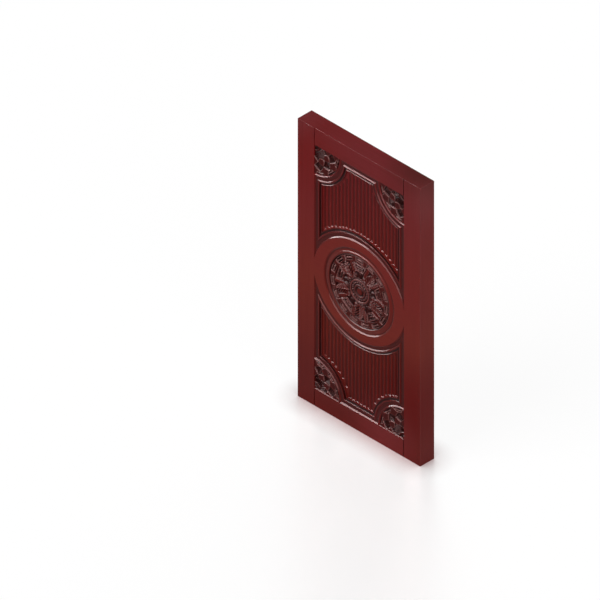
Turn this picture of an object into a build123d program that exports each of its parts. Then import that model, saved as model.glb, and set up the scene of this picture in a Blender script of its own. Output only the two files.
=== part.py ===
from build123d import *
import math
import os

# One carved leaf of a hardwood door, standing on its bottom edge.
# Millimetres. X runs across the leaf, Y through it with the carved face towards -Y, and Z up.
# The origin is at the middle of the bottom edge.

# The leaf
door_width = 1050.0
door_height = 2060.0
door_thickness = 120.0
cut_overrun = 5.0

# The frame
stile_width = 140.0
top_rail_width = 124.0
bottom_rail_width = 129.0
waist_height = 105.0
crown_margin = 53.0
shoulder_chamfer = 2.5
lip_thickness = 26.0
lip_width = 14.0
tenon_thickness = 40.0
tenon_length = 90.0
tenon_set_in = 14.0
mortise_room = 2.0
joint_gap = 0.2

# The moulding round each panel, from the frame's edge inwards, with depths below the face
moulding_width = 60.0
moulding_depth = 15.0
slope_width = 16.0
quirk_depth = 8.0
bead_width = 30.0
bead_cant = 8.0
bead_depth = 0.5
fillet_depth = 7.0

# The fluted panels, which the moulding is planted on
panel_gap = 1.0
flute_count = 21
flute_facets = 4
flute_land = 4.6
flute_depth = 5.5
flute_runout = 12.0
flute_end_land = 5.0

# The carved corner pieces; shares are of the corner's radius
corner_radius = 220.0
strap_depth = 4.0
pocket_depth = 12.0
corner_boss_depth = 2.0
corner_boss_share = 0.165
corner_leaf_start_share = 0.225
corner_leaf_length_share = 0.355
corner_leaf_width_share = 0.265
corner_lozenge_share = 0.69
corner_lozenge_length_share = 0.235
corner_lozenge_width_share = 0.21
corner_bar_share = 0.88
corner_bar_length_share = 0.225
corner_bar_width_share = 0.055
corner_cell_angles = (15.0, 45.0, 75.0)

# The turned and carved roundel; shares are of the carved disc's radius
roundel_side_margin = 82.0
roundel_depth = 30.0
roundel_slope_width = 14.0
roundel_bead_width = 36.0
ground_depth = 9.0
hub_share = 0.332
hub_ring_width = 13.0
hub_ring_depth = 3.0
hub_channel_depth = 11.0
hub_boss_share = 0.182
hub_boss_depth = 2.0
rosette_folds = 5
bars_per_fold = 3
bar_ring_share = 0.897
bar_pocket_length_share = 0.245
bar_pocket_width_share = 0.107
bar_pocket_depth = 17.0
bar_length_share = 0.198
bar_width_share = 0.047
bar_depth = 5.0
cartouche_ring_share = 0.672
cartouche_width_share = 0.45
cartouche_foot_share = 0.24
cartouche_height_share = 0.22
cartouche_border_share = 0.03
cartouche_depth = 3.0
slat_length_share = 0.19
slat_width_share = 0.042
slat_depth = 5.0
leaf_start_share = 0.364
leaf_length_share = 0.427
leaf_width_share = 0.285
leaf_depth = 4.0
leaf_rib_share = 0.14
leaf_rib_depth = 3.0

# What follows from those sizes, measured from the middle of the framed opening
front = -door_thickness / 2
back = door_thickness / 2
bed = front + moulding_depth
panel_back = back - lip_thickness
half_width = door_width / 2 - stile_width
opening_top = door_height - top_rail_width
middle = (opening_top + bottom_rail_width) / 2
half_height = (opening_top - bottom_rail_width) / 2
roundel_radius = half_width - roundel_side_margin
crown = roundel_radius + crown_margin
arch_rise = crown - waist_height / 2
arch_radius = (half_width**2 + arch_rise**2) / (2 * arch_rise)
arch_set = arch_radius - crown

# The carving's sizes, which follow the circles that it fills
corner_boss_radius = corner_boss_share * corner_radius
corner_leaf_start = corner_leaf_start_share * corner_radius
corner_leaf_length = corner_leaf_length_share * corner_radius
corner_leaf_width = corner_leaf_width_share * corner_radius
corner_lozenge_radius = corner_lozenge_share * corner_radius
corner_lozenge_length = corner_lozenge_length_share * corner_radius
corner_lozenge_width = corner_lozenge_width_share * corner_radius
corner_bar_radius = corner_bar_share * corner_radius
corner_bar_length = corner_bar_length_share * corner_radius
corner_bar_width = corner_bar_width_share * corner_radius
bead_outer = roundel_radius - roundel_slope_width
carved_radius = bead_outer - roundel_bead_width
hub_radius = hub_share * carved_radius
hub_boss_radius = hub_boss_share * carved_radius
bar_ring_radius = bar_ring_share * carved_radius
bar_pocket_length = bar_pocket_length_share * carved_radius
bar_pocket_width = bar_pocket_width_share * carved_radius
bar_length = bar_length_share * carved_radius
bar_width = bar_width_share * carved_radius
cartouche_radius = cartouche_ring_share * carved_radius
cartouche_width = cartouche_width_share * carved_radius
cartouche_height = cartouche_height_share * carved_radius
cartouche_foot = cartouche_foot_share * carved_radius
cartouche_border = cartouche_border_share * carved_radius
slat_length = slat_length_share * carved_radius
slat_width = slat_width_share * carved_radius
leaf_start = leaf_start_share * carved_radius
leaf_length = leaf_length_share * carved_radius
leaf_width = leaf_width_share * carved_radius


def slab(outline, back_y, front_y):
    """The solid between two depths whose outline is drawn on the face."""
    return extrude(Plane.XZ.offset(-back_y) * outline, back_y - front_y)


def region(*edges):
    """The flat area that these edges close in."""
    return make_face(Curve() + list(edges))


def block(x_range, y_range, z_range):
    """A squared piece of timber between three pairs of limits."""
    low = Vector(x_range[0], y_range[0], z_range[0])
    size = Vector(x_range[1], y_range[1], z_range[1]) - low
    return Pos(low) * Box(size.X, size.Y, size.Z, align=Align.MIN)


def reach(radius, offset):
    """How far a circle stands out, this far to the side of its centre."""
    return math.sqrt(radius**2 - offset**2)


def mirrored(point):
    return (-point[0], point[1])


def polar(centre, radius, degrees):
    angle = math.radians(degrees)
    return (centre[0] + radius * math.cos(angle), centre[1] + radius * math.sin(angle))


# Where the moulding's runs meet in the upper left quarter, at a distance in from the frame
def head_mitre(inset):
    return (reach(corner_radius + inset, inset) - half_width, half_height - inset)


def side_mitre(inset):
    return (inset - half_width, half_height - reach(corner_radius + inset, inset))


def tip_mitre(inset):
    return (inset - half_width, reach(arch_radius + inset, half_width - inset) - arch_set)


def mitre(joint):
    """The joint's line from outside the moulding, through its two edges, to inside it."""
    edge, near = joint(0), joint(cut_overrun)
    beyond = (2 * edge[0] - near[0], 2 * edge[1] - near[1])
    halfway, inner = joint(moulding_width / 2), joint(moulding_width)
    return [beyond, edge, halfway, inner, joint(moulding_width + cut_overrun)]


def mitre_edges(points):
    beyond, edge, halfway, inner, within = points
    return [Line(beyond, edge), ThreePointArc(edge, halfway, inner), Line(inner, within)]


def arch_top(inset):
    return (0, arch_radius + inset - arch_set)


def corner_middle(inset):
    return polar((-half_width, half_height), corner_radius + inset, -45)


# The frame: two stiles, three rails
def middle_rail_outline(inset):
    """The middle rail between the stiles, with its curved edges moved out by the inset."""
    end = reach(arch_radius + inset, half_width) - arch_set
    top = arch_top(inset)[1]
    return region(
        ThreePointArc((-half_width, end), (0, top), (half_width, end)),
        Line((half_width, end), (half_width, -end)),
        ThreePointArc((half_width, -end), (0, -top), (-half_width, -end)),
        Line((-half_width, -end), (-half_width, end)),
    )


def tenons(low, high, room, gap):
    """The tongues at both ends of a rail, or with some room the mortises that take them."""
    length = tenon_length + room
    across = (-tenon_thickness / 2 - gap, tenon_thickness / 2 + gap)
    left = block((-half_width - length, -half_width), across, (low - gap, high + gap))
    return [left, mirror(left, Plane.YZ)]


def shoulder_cuts(low, high):
    """The small chamfers that ease a rail's shoulders on the carved face."""
    corner = Polyline(
        (-half_width, front), (shoulder_chamfer - half_width, front), (-half_width, front + shoulder_chamfer),
        close=True,
    )
    left = extrude(Plane.XY.offset(low) * make_face(corner), high - low)
    return [left, mirror(left, Plane.YZ)]


def straight_rail(inner, outer):
    """A rail above the panels, between two heights, with the lip along its inner edge."""
    rail = block((-half_width, half_width), (front, back), (inner, outer))
    rail += block((-half_width, half_width), (panel_back, back), (inner - lip_width, inner))
    rail -= shoulder_cuts(inner, outer)
    return rail + tenons(inner + tenon_set_in, outer - tenon_set_in, 0, 0)


def middle_rail():
    rail = slab(middle_rail_outline(0), back, front)
    rail += slab(middle_rail_outline(lip_width), back, panel_back)
    pocket = slab(Circle(roundel_radius), front + roundel_depth, front - cut_overrun)
    tenon_reach = waist_height / 2 - tenon_set_in
    return rail - pocket + tenons(-tenon_reach, tenon_reach, 0, 0)


def left_stile(rail_lip):
    """The left stile, its lips fitted between the rails' lips, and its three mortises."""
    top = door_height - middle
    stile = block((-door_width / 2, -half_width), (front, back), (-middle, top))
    lip_end = half_height - lip_width
    lip = block((-half_width, lip_width - half_width), (panel_back, back), (-lip_end, lip_end))
    stile += lip - rail_lip
    tenon_reach = waist_height / 2 - tenon_set_in
    mortises = tenons(-tenon_reach, tenon_reach, mortise_room, joint_gap)
    mortises += tenons(half_height + tenon_set_in, top - tenon_set_in, mortise_room, joint_gap)
    mortises += tenons(tenon_set_in - middle, -half_height - tenon_set_in, mortise_room, joint_gap)
    return stile - mortises


# The upper panel; the lower one mirrors it
def panel_outline():
    side = half_width - panel_gap
    tip = reach(arch_radius + panel_gap, side) - arch_set
    top = half_height - panel_gap
    return region(
        ThreePointArc((-side, tip), arch_top(panel_gap), (side, tip)),
        Polyline((side, tip), (side, top), (-side, top), (-side, tip)),
    )


def flute_ends(x, half_flute):
    """The lowest and highest points that a flute may reach inside the field."""
    inset = moulding_width + joint_gap
    near, far = max(abs(x) - half_flute, 0), abs(x) + half_flute
    low = reach(arch_radius + inset, near) - arch_set
    high = half_height - inset
    from_corner = half_width - far
    if from_corner < reach(corner_radius + inset, inset):
        high = half_height - reach(corner_radius + inset, from_corner)
    return low + flute_end_land, high - flute_end_land


def hollow(width, depth, lift):
    """A round hollow cut across: a few facets along its arc, closed this far above the surface."""
    radius = (width**2 / 4 + depth**2) / (2 * depth)
    spread = math.asin(width / 2 / radius)
    angles = [spread * (2 * step / flute_facets - 1) for step in range(flute_facets + 1)]
    floor = [(radius * math.sin(angle), depth - radius + radius * math.cos(angle)) for angle in angles]
    return make_face(Polyline((-width / 2, -lift), *floor, (width / 2, -lift), close=True))


def flutes():
    """Hollows up the board that run out in a slope before they reach the moulding."""
    field_width = 2 * (half_width - moulding_width - joint_gap)
    flute_width = (field_width - (flute_count + 1) * flute_land) / flute_count
    trough = hollow(flute_width, flute_depth, flute_depth)
    cutters = []
    for step in range(flute_count):
        x = (step - (flute_count - 1) / 2) * (flute_width + flute_land)
        low, high = flute_ends(x, flute_width / 2)
        side_view = make_face(Polyline(
            (bed + flute_depth, low + flute_runout), (bed - flute_depth, low - flute_runout),
            (bed - flute_depth, high + flute_runout), (bed + flute_depth, high - flute_runout),
            close=True,
        ))
        sloped = extrude(Pos(x, 0, 0) * (Plane.YZ * side_view), flute_width, both=True)
        run = extrude(Pos(x, bed, low - flute_runout) * trough, high - low + 2 * flute_runout)
        cutters.append(run & sloped)
    return cutters


def panel():
    return slab(panel_outline(), panel_back, bed) - flutes()


# The moulding's runs round the upper panel
def moulding_section():
    """The moulding cut across: distance in from the frame, then depth below the face."""
    bead_end = slope_width + bead_width
    return region(
        Polyline(
            (0, moulding_depth), (0, 0), (slope_width, quirk_depth),
            (slope_width + bead_cant, bead_depth), (bead_end - bead_cant, bead_depth),
            (bead_end, fillet_depth), (moulding_width, fillet_depth), (moulding_width, moulding_depth),
            close=True,
        ),
    )


def straight_moulding(start, inwards, length):
    """A run of moulding along the frame's edge, from a point on that edge."""
    plane = Plane(origin=start, x_dir=inwards, z_dir=Vector(inwards).cross(Vector(0, 1, 0)))
    return extrude(plane * moulding_section(), length)


def round_moulding(centre, radius, seam):
    """A full ring of moulding about a centre, its seam turned where it will be cut away."""
    direction = Vector(math.cos(math.radians(seam)), 0, math.sin(math.radians(seam)))
    origin = Vector(centre[0], front, centre[1])
    plane = Plane(origin=origin, x_dir=direction, z_dir=direction.cross(Vector(0, 1, 0)))
    return revolve(plane * (Pos(radius, 0) * moulding_section()), Axis(origin, (0, 1, 0)))


def cell(first, second, outer_middle, inner_middle):
    """The part of the face that one run covers, between two mitres; a middle point makes an edge round."""
    def edge(start, end, middle):
        return ThreePointArc(start, middle, end) if middle else Line(start, end)

    outline = region(
        edge(first[0], second[0], outer_middle),
        *mitre_edges(second),
        edge(second[-1], first[-1], inner_middle),
        *mitre_edges(first),
    )
    return slab(outline, back, front - cut_overrun)


head_joint, side_joint, tip_joint = mitre(head_mitre), mitre(side_mitre), mitre(tip_mitre)
inside = moulding_width + cut_overrun


def head_moulding():
    run = straight_moulding((-half_width, front, half_height), (0, 0, -1), 2 * half_width)
    return run & cell(head_joint, [mirrored(point) for point in head_joint], None, None)


def corner_moulding():
    ring = round_moulding((-half_width, half_height), corner_radius, 135)
    return ring & cell(head_joint, side_joint, corner_middle(-cut_overrun), corner_middle(inside))


def side_moulding():
    run = straight_moulding((-half_width, front, 0), (1, 0, 0), half_height)
    rail = slab(middle_rail_outline(0), back, front - cut_overrun)
    return (run & cell(side_joint, tip_joint, None, None)) - rail


def arch_moulding():
    ring = round_moulding((0, -arch_set), arch_radius, -90)
    right_joint = [mirrored(point) for point in tip_joint]
    return ring & cell(tip_joint, right_joint, arch_top(-cut_overrun), arch_top(inside))


# Carving that the roundel and the corners share, drawn standing upright about its own centre
def leaf_outline(length, width):
    """A toothed leaf from its stalk at the origin to its tip."""
    length_shares = (0.0, 0.16, 0.30, 0.34, 0.52, 0.55, 0.74, 0.77, 1.0)
    width_shares = (0.12, 0.30, 0.50, 0.34, 0.46, 0.28, 0.36, 0.18, 0.0)
    right = [(width * side, length * along) for along, side in zip(length_shares, width_shares)]
    left = [mirrored(point) for point in right[-2::-1]]
    return make_face(Polyline(*right, *left, close=True))


def leaf_rib(centre, start, degrees, length, width, top):
    """The vee cut along a leaf's middle, which leaves its two halves as blades."""
    x, z = polar(centre, start, degrees)
    ray = polar((0, 0), 1, degrees)
    along = Vector(ray[0], 0, ray[1])
    plane = Plane(origin=(x, front + top, z), x_dir=along.cross(Vector(0, 1, 0)), z_dir=along)
    rib = leaf_rib_share * width
    vee = make_face(Polyline((-rib, leaf_rib_depth), (rib, leaf_rib_depth), (0, -leaf_rib_depth), close=True))
    return extrude(plane * vee, length)


def on_ray(centre, radius, degrees, outline):
    """An outline moved out along a ray and turned to stand on it."""
    x, z = polar(centre, radius, degrees)
    return Pos(x, z) * Rot(0, 0, degrees - 90) * outline


# A carved corner piece, upper left
def corner_carving():
    corner = (-half_width, half_height)
    edge = corner_radius - joint_gap
    quarter = Pos(*corner) * Rectangle(edge, edge, align=(Align.MIN, Align.MAX))
    boss = Pos(*corner) * Circle(corner_boss_radius)
    length, width = corner_leaf_length, corner_leaf_width
    leaf = on_ray(corner, corner_leaf_start, -45, leaf_outline(length, width))
    carving = slab(Pos(*corner) * Circle(edge) & quarter, bed, front + strap_depth)
    carving += slab(boss & quarter, bed, front + corner_boss_depth)
    carving += slab(leaf, bed, front + corner_boss_depth)
    carving -= leaf_rib(corner, corner_leaf_start, -45, length, width, corner_boss_depth)
    across, along = corner_lozenge_width / 2, corner_lozenge_length / 2
    lozenge = make_face(Polyline((-across, 0), (0, along), (across, 0), (0, -along), close=True))
    bar_slot = Rectangle(corner_bar_length, corner_bar_width)
    for angle in corner_cell_angles:
        for radius, hole in ((corner_lozenge_radius, lozenge), (corner_bar_radius, bar_slot)):
            outline = on_ray(corner, radius, -angle, hole)
            carving -= slab(outline, front + pocket_depth, front - cut_overrun)
    return carving


# The roundel, let into the middle rail
def roundel_blank():
    """The turned blank: moulded rim, sunk ground and hub, from the rim inwards."""
    outer = roundel_radius - joint_gap
    channel = hub_radius - hub_ring_width
    section = make_face(Polyline(
        (0, roundel_depth), (outer, roundel_depth), (outer, 0), (bead_outer, quirk_depth),
        (bead_outer - bead_cant, bead_depth), (carved_radius + bead_cant, bead_depth),
        (carved_radius, ground_depth), (hub_radius, ground_depth),
        (hub_radius, hub_ring_depth), (channel, hub_ring_depth), (channel, hub_channel_depth),
        (hub_boss_radius, hub_channel_depth), (hub_boss_radius, hub_boss_depth), (0, hub_boss_depth),
        close=True,
    ))
    plane = Plane(origin=(0, front, 0), x_dir=(0, 0, -1), z_dir=(1, 0, 0))
    return revolve(plane * section, Axis((0, front, 0), (0, 1, 0)))


def cartouche_outline(inset):
    """A small frame's edge, flared outwards from its foot towards the hub."""
    half = cartouche_width / 2 - inset
    foot = cartouche_foot / 2 - inset
    high = cartouche_height / 2 - inset
    return make_face(Polyline((-half, high), (half, high), (foot, -high), (-foot, -high), close=True))


def roundel():
    centre = (0, 0)
    floor = front + roundel_depth
    carving = roundel_blank()
    fold = 360 / rosette_folds
    pocket = Rectangle(bar_pocket_length, bar_pocket_width)
    bar = Rectangle(bar_length, bar_width)
    for step in range(rosette_folds * bars_per_fold):
        angle = 90 + step * fold / bars_per_fold
        pocket_here = on_ray(centre, bar_ring_radius, angle, pocket)
        carving -= slab(pocket_here, front + bar_pocket_depth, front - cut_overrun)
        carving += slab(on_ray(centre, bar_ring_radius, angle, bar), floor, front + bar_depth)
    cartouche = cartouche_outline(0) - cartouche_outline(cartouche_border)
    slat = Rectangle(slat_length, slat_width)
    leaf = leaf_outline(leaf_length, leaf_width)
    for step in range(rosette_folds):
        angle = 90 + step * fold
        leaf_angle = angle + fold / 2
        carving += slab(on_ray(centre, cartouche_radius, angle, cartouche), floor, front + cartouche_depth)
        carving += slab(on_ray(centre, cartouche_radius, angle, slat), floor, front + slat_depth)
        carving += slab(on_ray(centre, leaf_start, leaf_angle, leaf), floor, front + leaf_depth)
        carving -= leaf_rib(centre, leaf_start, leaf_angle, leaf_length, leaf_width, leaf_depth)
    return carving


# Every piece of the leaf, in place about the middle of the opening
def left_and_right(piece):
    return [piece, mirror(piece, Plane.YZ)]


def below(piece):
    return mirror(piece, Plane.XY)


rail_lip = slab(middle_rail_outline(lip_width), back, panel_back)
stiles = left_and_right(left_stile(rail_lip))
upper_panel = panel()
upper_head = head_moulding()
upper_arch = arch_moulding()
upper_sides = left_and_right(side_moulding())
corner_runs = left_and_right(corner_moulding())
corner_pieces = left_and_right(corner_carving())

pieces = {
    "left_stile": stiles[0],
    "right_stile": stiles[1],
    "top_rail": straight_rail(half_height, door_height - middle),
    "middle_rail": middle_rail(),
    "bottom_rail": below(straight_rail(half_height, middle)),
    "upper_panel": upper_panel,
    "lower_panel": below(upper_panel),
    "upper_head_moulding": upper_head,
    "lower_foot_moulding": below(upper_head),
    "upper_arch_moulding": upper_arch,
    "lower_arch_moulding": below(upper_arch),
    "upper_left_side_moulding": upper_sides[0],
    "upper_right_side_moulding": upper_sides[1],
    "lower_left_side_moulding": below(upper_sides[0]),
    "lower_right_side_moulding": below(upper_sides[1]),
    "corner_mouldings": Compound(corner_runs + [below(run) for run in corner_runs]),
    "upper_left_corner_carving": corner_pieces[0],
    "upper_right_corner_carving": corner_pieces[1],
    "lower_left_corner_carving": below(corner_pieces[0]),
    "lower_right_corner_carving": below(corner_pieces[1]),
    "roundel": roundel(),
}

os.makedirs("parts", exist_ok=True)
for name, piece in pieces.items():
    export_step(Pos(0, 0, middle) * piece, f"parts/{name}.step")
print(len(pieces), "pieces written")
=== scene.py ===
# %% [markdown]
# # A carved, lacquered door leaf
# The leaf stands on its bottom edge with its carved face towards -Y. Its frame, panels, mouldings and
# carvings were made as solids first. This lesson dresses those solids: true round mouldings, fluted boards,
# fine carving and a dark red lacquer. Sizes are in millimetres until a mesh is made, and what a solid
# already knows is measured from it.

# %% Load the solids
import math

import bmesh
import bpy
import numpy as np
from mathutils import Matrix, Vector


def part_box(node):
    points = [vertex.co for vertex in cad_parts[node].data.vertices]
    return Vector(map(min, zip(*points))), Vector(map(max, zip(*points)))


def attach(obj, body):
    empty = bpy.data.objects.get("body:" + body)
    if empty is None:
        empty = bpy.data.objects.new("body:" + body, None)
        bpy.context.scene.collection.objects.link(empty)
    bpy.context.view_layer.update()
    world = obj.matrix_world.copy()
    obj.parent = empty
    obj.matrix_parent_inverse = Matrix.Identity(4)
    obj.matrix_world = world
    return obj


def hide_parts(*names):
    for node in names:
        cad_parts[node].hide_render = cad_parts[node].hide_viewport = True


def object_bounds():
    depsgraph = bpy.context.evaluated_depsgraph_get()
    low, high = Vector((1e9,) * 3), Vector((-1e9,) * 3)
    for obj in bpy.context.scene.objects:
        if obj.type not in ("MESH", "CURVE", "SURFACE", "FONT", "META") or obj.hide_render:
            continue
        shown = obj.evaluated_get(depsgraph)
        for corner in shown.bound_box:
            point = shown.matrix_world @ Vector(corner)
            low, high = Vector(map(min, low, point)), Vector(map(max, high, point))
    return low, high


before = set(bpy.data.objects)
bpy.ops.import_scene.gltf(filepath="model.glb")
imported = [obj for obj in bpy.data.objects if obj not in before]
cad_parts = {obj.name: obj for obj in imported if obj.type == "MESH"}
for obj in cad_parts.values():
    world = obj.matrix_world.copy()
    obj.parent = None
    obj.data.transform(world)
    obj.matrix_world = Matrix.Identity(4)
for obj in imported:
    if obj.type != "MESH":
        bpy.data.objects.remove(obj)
solid_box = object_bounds()
mm = 0.001
scene = bpy.context.scene


def placed(name, data):
    made = bpy.data.objects.new(name, data)
    scene.collection.objects.link(made)
    return made


print("solids", len(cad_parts), "size", [round(side / mm) for side in solid_box[1] - solid_box[0]])

# %% [markdown]
# ## The camera
# The picture to match is drawn in true isometric view: upright edges stay upright and nothing shrinks with
# distance. A perspective camera far away could come close, but an orthographic one is exact. It looks from 45
# degrees to the right and about 35 degrees up, where all three edges of a cube look equally long.

# %% Make the camera
view_turn = math.radians(45)
view_rise = math.atan(1 / math.sqrt(2))
view_width = 3.634
view_distance = 9.0
aim_across = -0.3994
aim_up = 0.7707

to_camera = Vector((
    math.sin(view_turn) * math.cos(view_rise),
    -math.cos(view_turn) * math.cos(view_rise),
    math.sin(view_rise),
))
turn = (-to_camera).to_track_quat("-Z", "Y")
across, up = turn @ Vector((1, 0, 0)), turn @ Vector((0, 1, 0))
camera_data = bpy.data.cameras.new("camera")
camera_data.type = "ORTHO"
camera_data.ortho_scale = view_width
camera = placed("camera", camera_data)
camera.location = aim_across * across + aim_up * up + view_distance * to_camera
camera.rotation_mode = "QUATERNION"
camera.rotation_quaternion = turn
scene.camera = camera
print("camera looks from", [round(part, 3) for part in to_camera])

# %% [markdown]
# ## Measuring the solids
# A joiner would put a rule on the finished frame before making the mouldings, and so does this cell. Places
# on the face are given as x to the right and z up from the middle of the framed opening, with depth counted
# inwards from the face.

# %% Take sizes from the solids
low, high = (corner / mm for corner in solid_box)
face_y = low.y


def box_mm(node):
    lowest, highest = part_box(node)
    return lowest / mm, highest / mm


head_high = box_mm("upper_head_moulding")[1]
foot_low = box_mm("lower_foot_moulding")[0]
side_low, side_high = box_mm("upper_left_side_moulding")
arch_low, arch_high = box_mm("upper_arch_moulding")
panel_low, panel_high = box_mm("upper_panel")
roundel_low, roundel_high = box_mm("roundel")

middle_z = (head_high.z + foot_low.z) / 2
half_height = (head_high.z - foot_low.z) / 2
leaf_height = high.z - low.z
half_width = -side_low.x
moulding_width = side_high.x - side_low.x
corner_radius = half_width - head_high.x
crown = arch_high.z - middle_z - moulding_width
arch_rise = crown - (arch_low.z - middle_z)
arch_radius = (half_width**2 + arch_rise**2) / (2 * arch_rise)
arch_set = arch_radius - crown
bed_depth = panel_low.y - face_y
panel_back_depth = panel_high.y - face_y
panel_gap = half_width - panel_high.x
roundel_radius = (roundel_high.x - roundel_low.x) / 2
roundel_back_depth = roundel_high.y - face_y
print("opening", round(2 * half_width), "by", round(2 * half_height), "arch radius", round(arch_radius))

# %% [markdown]
# ## Shader sums as plain sums
# Wiring a graph of small nodes by hand hides the idea of a finish. Here a small class stands for a node's
# output, and a sum of two of them adds a Math node, so a mask can be written as `1 - grain`. Every other
# node comes from one method, which sets its settings first and then its sockets.

# %% A socket that can be added and multiplied
class Value:
    """One output of a node, which can be used in sums."""

    def __init__(self, finish, socket):
        self.finish = finish
        self.socket = socket

    def __add__(self, other):
        return self.finish.math("ADD", self, other)

    def __sub__(self, other):
        return self.finish.math("SUBTRACT", self, other)

    def __rsub__(self, other):
        return self.finish.math("SUBTRACT", other, self)

    def __mul__(self, other):
        return self.finish.math("MULTIPLY", self, other)

    __radd__ = __add__
    __rmul__ = __mul__


class Finish:
    """The nodes that give a material or the world its look."""

    def __init__(self, owner):
        owner.use_nodes = True
        self.owner = owner
        self.tree = owner.node_tree

    def node(self, kind, settings, sockets, output=0):
        made = self.tree.nodes.new(kind)
        for name, setting in settings.items():
            setattr(made, name, setting)
        for name, value in sockets.items():
            self.feed(made.inputs[name], value)
        return Value(self, made.outputs[output])

    def ramp(self, value, stops):
        ramped = self.node("ShaderNodeValToRGB", {}, {"Fac": value}, "Color")
        elements = ramped.socket.node.color_ramp.elements
        while len(elements) < len(stops):
            elements.new(1.0)
        for element, (place, colour) in zip(elements, stops):
            element.position = place
            element.color = (*colour, 1.0)
        return ramped

    def feed(self, socket, value):
        if isinstance(value, Value):
            self.tree.links.new(value.socket, socket)
        elif socket.type == "RGBA":
            socket.default_value = (*value, 1.0)
        else:
            socket.default_value = value

    def math(self, operation, first, second, clamp=False):
        settings = {"operation": operation, "use_clamp": clamp}
        return self.node("ShaderNodeMath", settings, {0: first, 1: second})

    def clamped(self, value):
        return self.math("ADD", value, 0.0, clamp=True)

    def mix(self, factor, first, second):
        settings = {"data_type": "RGBA"}
        return self.node("ShaderNodeMix", settings, {0: factor, 6: first, 7: second}, output=2)

    def noise(self, place, scale, detail, roughness):
        stretched = self.node("ShaderNodeVectorMath", {"operation": "MULTIPLY"}, {0: place, 1: scale})
        sockets = {"Vector": stretched, "Scale": 1.0, "Detail": detail, "Roughness": roughness}
        return self.node("ShaderNodeTexNoise", {}, sockets)

    def attribute(self, name, output):
        return self.node("ShaderNodeAttribute", {"attribute_name": name}, {}, output)


print("shader kit ready")

# %% [markdown]
# ## The lacquer
# The real leaf is red hardwood under a deep red lacquer, and pores and streaks show only faintly through it.
# The stain varies in soft clouds. The red is darker towards the bottom and paler plum towards the top as
# painted light, and a few soft spots of other reds paint uneven light, reflection and shade, with a painted
# shadow at the top right corner. A brown glaze was left in the carved hollows, with painted shade over it,
# and the same brown paints shade into the mouldings, rims and flutes. Recessed parts get darker copies of the
# red as painted shade. Edges are rubbed pale, with a painted highlight over the wear. A picture of wood would
# repeat and blur, so the grain is noise pulled out long along each board. Each mesh says where a point lies
# in its board (`grain`), how much glaze and painted shade its hollow gets (`sunk`) and how much wear and
# painted light its edge gets (`wear_and_painted_light`).

# %% Make the lacquered finishes
# painted_shade_red is painted shade: recessed parts get darker copies of the red
painted_shade_red = (0.050, 0.0046, 0.0040)
deep_red = (0.092, 0.0088, 0.0072)
warm_red = (0.142, 0.0165, 0.0105)
lacquer_red = (0.142, 0.0130, 0.0110)
plum_red = (0.140, 0.0140, 0.0160)
pore_brown = (0.036, 0.0060, 0.0050)
# glaze_and_shade_brown is glaze in the carving and joints, and painted shade in mouldings, rims and flutes
glaze_and_shade_brown = (0.0190, 0.0014, 0.0012)
glaze_grey = (0.036, 0.030, 0.026)
# wear_and_painted_light_pink pales edges as wear and as a painted highlight, and the leaf's long edges as
# painted light
wear_and_painted_light_pink = (0.30, 0.140, 0.132)
# The stops run from the leaf's bottom to its top as painted light: deeper red below, plum above
stain_and_light_stops = [(0.05, deep_red), (0.42, warm_red), (0.66, lacquer_red), (0.98, plum_red)]
# Each spot has its middle and reach in metres, its red, and how much of that red its middle gets. The spots
# paint uneven light, reflection and shade, with a painted shadow at the top right corner.
painted_light_spots = (
    ((-0.48, 0.0, 1.82), 0.55, (0.138, 0.0062, 0.0060), 0.95),
    ((0.46, 0.0, 0.42), 0.55, (0.094, 0.0012, 0.0008), 0.95),
    ((0.22, 0.0, 0.04), 0.40, (0.150, 0.0185, 0.0195), 0.90),
    ((0.50, 0.05, 2.12), 0.20, (0.046, 0.0060, 0.0050), 0.90),
    ((0.62, 0.0, 1.97), 0.32, (0.150, 0.0250, 0.0260), 0.95),
    ((-0.62, 0.0, 2.14), 0.32, (0.150, 0.0250, 0.0290), 0.95),
    ((0.38, 0.12, 2.11), 0.34, (0.064, 0.0078, 0.0066), 0.95),
)
# Each noise has its scale along three axes, its detail and its roughness
streak_noise = ((46.0, 46.0, 1.9), 5.0, 0.6)
pore_noise = ((520.0, 520.0, 13.0), 2.0, 0.5)
cloud_noise = ((1.5, 1.5, 1.1), 2.0, 0.5)
smear_noise = ((7.0, 7.0, 3.0), 3.0, 0.55)
stipple_noise = ((90.0, 90.0, 90.0), 3.0, 0.6)
mean_noise, cloud_sway = 0.5, 0.7
streak_start, streak_gain, streak_share = 0.42, 1.9, 0.55
pore_start, pore_gain, pore_share = 0.58, 5.0, 0.30
dust_start, dust_gain = 0.40, 2.6
hollow_gain, hollow_stipple = 1.08, 0.35
wear_and_painted_light_gain, wear_and_painted_light_stipple = 0.45, 0.45
even_rough, smear_rough, pore_rough, hollow_rough = 0.15, 0.08, 0.05, 0.06
streak_relief, pore_relief, stipple_relief = 0.35, -0.5, 0.8
bump_strength, bump_distance = 0.12, 0.0012


def with_painted_light_spots(finish, place, red):
    """The red with soft spots of other reds laid over it, which paint uneven light, reflection and shade."""
    for centre, spot_reach, colour, most in painted_light_spots:
        away = finish.node("ShaderNodeVectorMath", {"operation": "DISTANCE"}, {0: place, 1: centre}, "Value")
        sockets = {"Value": away, "From Max": spot_reach, "To Min": most, "To Max": 0.0}
        share = finish.node("ShaderNodeMapRange", {"interpolation_type": "SMOOTHSTEP"}, sockets)
        red = finish.mix(share, red, colour)
    return red


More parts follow.
